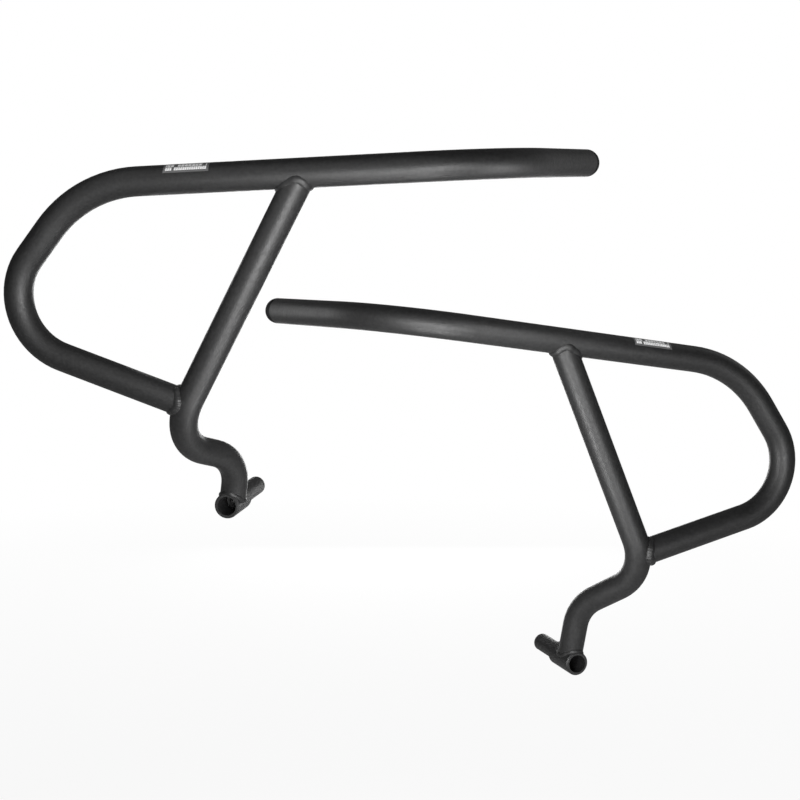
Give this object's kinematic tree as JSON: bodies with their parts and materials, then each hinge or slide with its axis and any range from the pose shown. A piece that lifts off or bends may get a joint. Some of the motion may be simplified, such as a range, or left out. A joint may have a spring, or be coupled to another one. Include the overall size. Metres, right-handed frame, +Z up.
{
  "type": "motorcycle crash bars",
  "caption": "Left and right motorcycle crash bars of bent and welded round steel tube: closed rear loop, inward-turned plugged tip, and a bored foot sleeve with a spacer for the frame bolt.",
  "frame": {"origin": "on the left guard's bolt axis, at the end of its spacer tube that seats on the motorcycle", "axes": "+Y along the left bolt into the motorcycle, +Z up, +X along the top run towards the left guard's tip; the right guard lies beside it, mirrored and turned as in the picture"},
  "size_m": [0.6996, 0.3113, 0.5231],
  "materials": {
    "coat": "satin-matt black powder coat with a fine grain",
    "plug": "moulded black plastic, slightly glossy"
  },
  "bodies": {
    "root": {"left_loop_tube": "coat", "left_strut_tube": "coat", "left_upper_weld": "coat", "left_lower_weld": "coat", "left_sleeve_weld": "coat", "left_mount_sleeve": "coat", "left_spacer_tube": "coat", "left_end_plug": "plug", "right_loop_tube": "coat", "right_strut_tube": "coat", "right_upper_weld": "coat", "right_lower_weld": "coat", "right_sleeve_weld": "coat", "right_mount_sleeve": "coat", "right_spacer_tube": "coat", "right_end_plug": "plug"}
  },
  "joints": []
}
